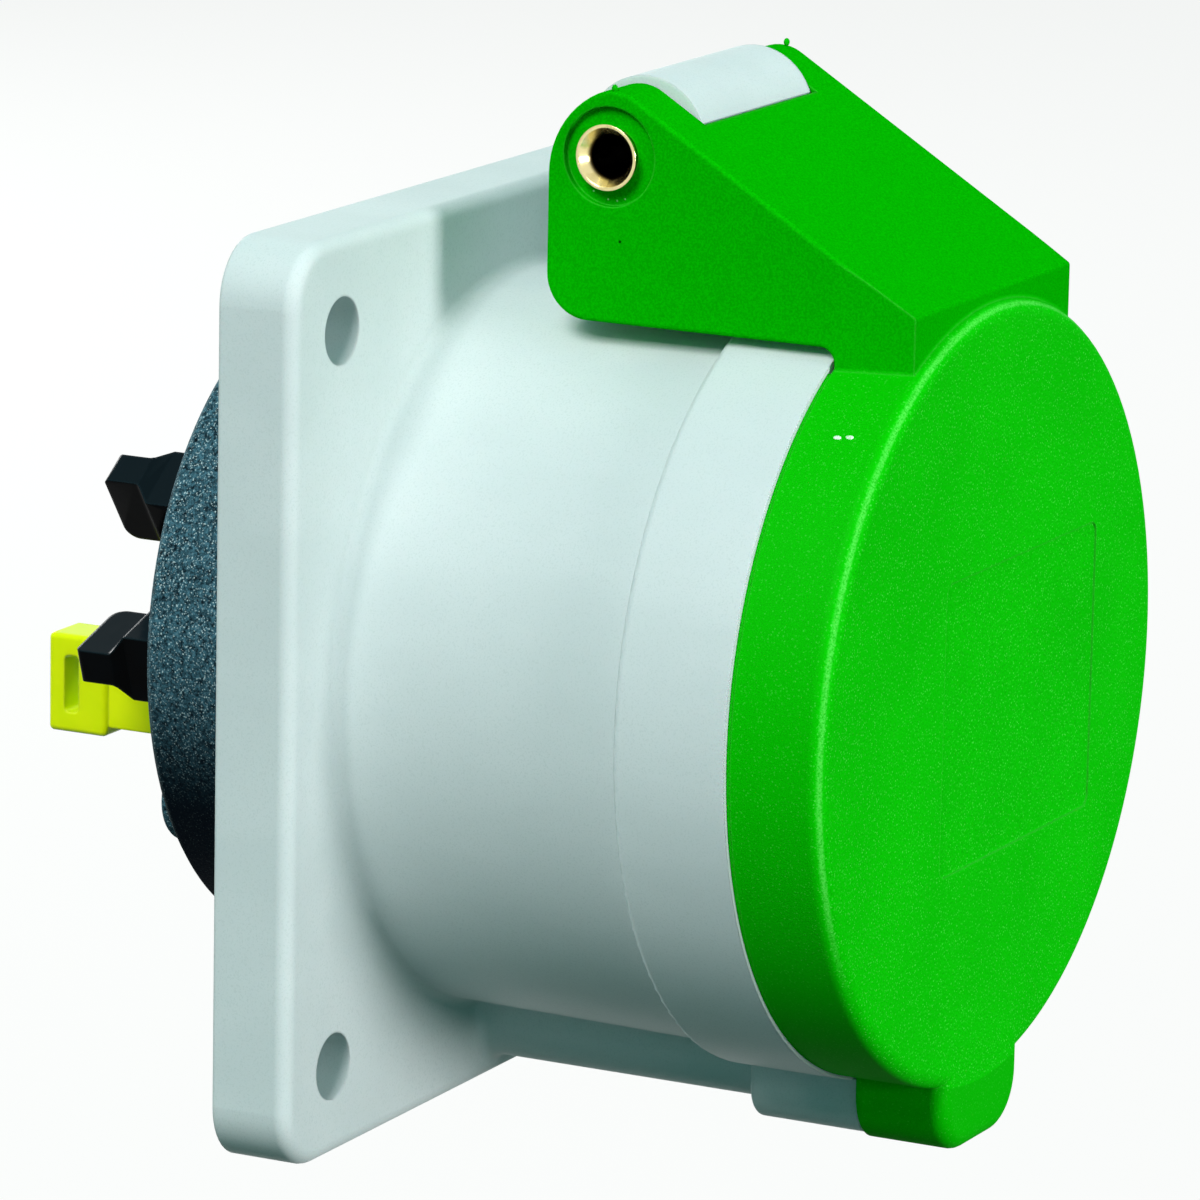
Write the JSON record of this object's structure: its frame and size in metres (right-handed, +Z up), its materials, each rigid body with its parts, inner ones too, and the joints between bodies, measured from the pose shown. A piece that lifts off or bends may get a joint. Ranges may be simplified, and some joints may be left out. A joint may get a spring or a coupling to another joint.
{
  "type": "industrial panel socket",
  "caption": "Flanged panel socket with a round shrouded mouth, a sprung hinged lid, pin sleeves and rear spring-clamp terminals.",
  "frame": {"origin": "centre of the flange's mounting face, on the axis of the round mouth", "axes": "+Y backwards into the panel, +Z up towards the lid's hinge, +X to the right seen from the front; the lid faces -Y"},
  "size_m": [0.075, 0.087, 0.0866],
  "materials": {
    "grey_housing": "smooth semi-gloss moulding",
    "green_lid": "semi-gloss, with a fine spark-eroded grain on the face and rim",
    "seal": "soft matt elastomer",
    "brass_pin": "bright drawn brass",
    "spring_steel": "bright spring steel",
    "dark_insert": "matt glass-filled moulding",
    "black_block": "rough, speckled glass-filled moulding",
    "screw_steel": "zinc-plated steel",
    "contact_brass": "nickel-free turned brass",
    "black_slide": "glossy moulding",
    "yellow_slide": "glossy, slightly translucent moulding"
  },
  "bodies": {
    "socket": {"housing": "grey_housing", "hinge_pin": "brass_pin", "lid_spring": "spring_steel", "contact_insert": "dark_insert", "terminal_block": "black_block", "block_screws": "screw_steel", "contact_pe": "contact_brass", "contact_l1": "contact_brass", "contact_l2": "contact_brass", "contact_l3": "contact_brass", "contact_n": "contact_brass", "clamp_spring_pe": "spring_steel", "clamp_spring_l1": "spring_steel", "clamp_spring_l2": "spring_steel", "clamp_spring_l3": "spring_steel", "clamp_spring_n": "spring_steel"},
    "lid": {"lid": "green_lid", "lid_seal": "seal"},
    "slide_pe": {"release_slide_pe": "yellow_slide"},
    "slide_l1": {"release_slide_l1": "black_slide"},
    "slide_l2": {"release_slide_l2": "black_slide"},
    "slide_l3": {"release_slide_l3": "black_slide"},
    "slide_n": {"release_slide_n": "black_slide"}
  },
  "joints": [
    {"name": "lid_hinge", "type": "hinge", "parent": "socket", "child": "lid", "pos_m": [0, -0.0225, 0.04325], "axis": [-1, 0, 0], "range_deg": [0, 110], "stiffness_Nm_per_rad": 0.04, "springref_deg": -68.75, "deforming": ["lid_spring"]},
    {"name": "release_pe", "type": "slide", "parent": "socket", "child": "slide_pe", "axis": [0, -1, 0], "range_m": [0, 0.008]},
    {"name": "release_l1", "type": "slide", "parent": "socket", "child": "slide_l1", "axis": [0, -1, 0], "range_m": [0, 0.008]},
    {"name": "release_l2", "type": "slide", "parent": "socket", "child": "slide_l2", "axis": [0, -1, 0], "range_m": [0, 0.008]},
    {"name": "release_l3", "type": "slide", "parent": "socket", "child": "slide_l3", "axis": [0, -1, 0], "range_m": [0, 0.008]},
    {"name": "release_n", "type": "slide", "parent": "socket", "child": "slide_n", "axis": [0, -1, 0], "range_m": [0, 0.008]}
  ]
}
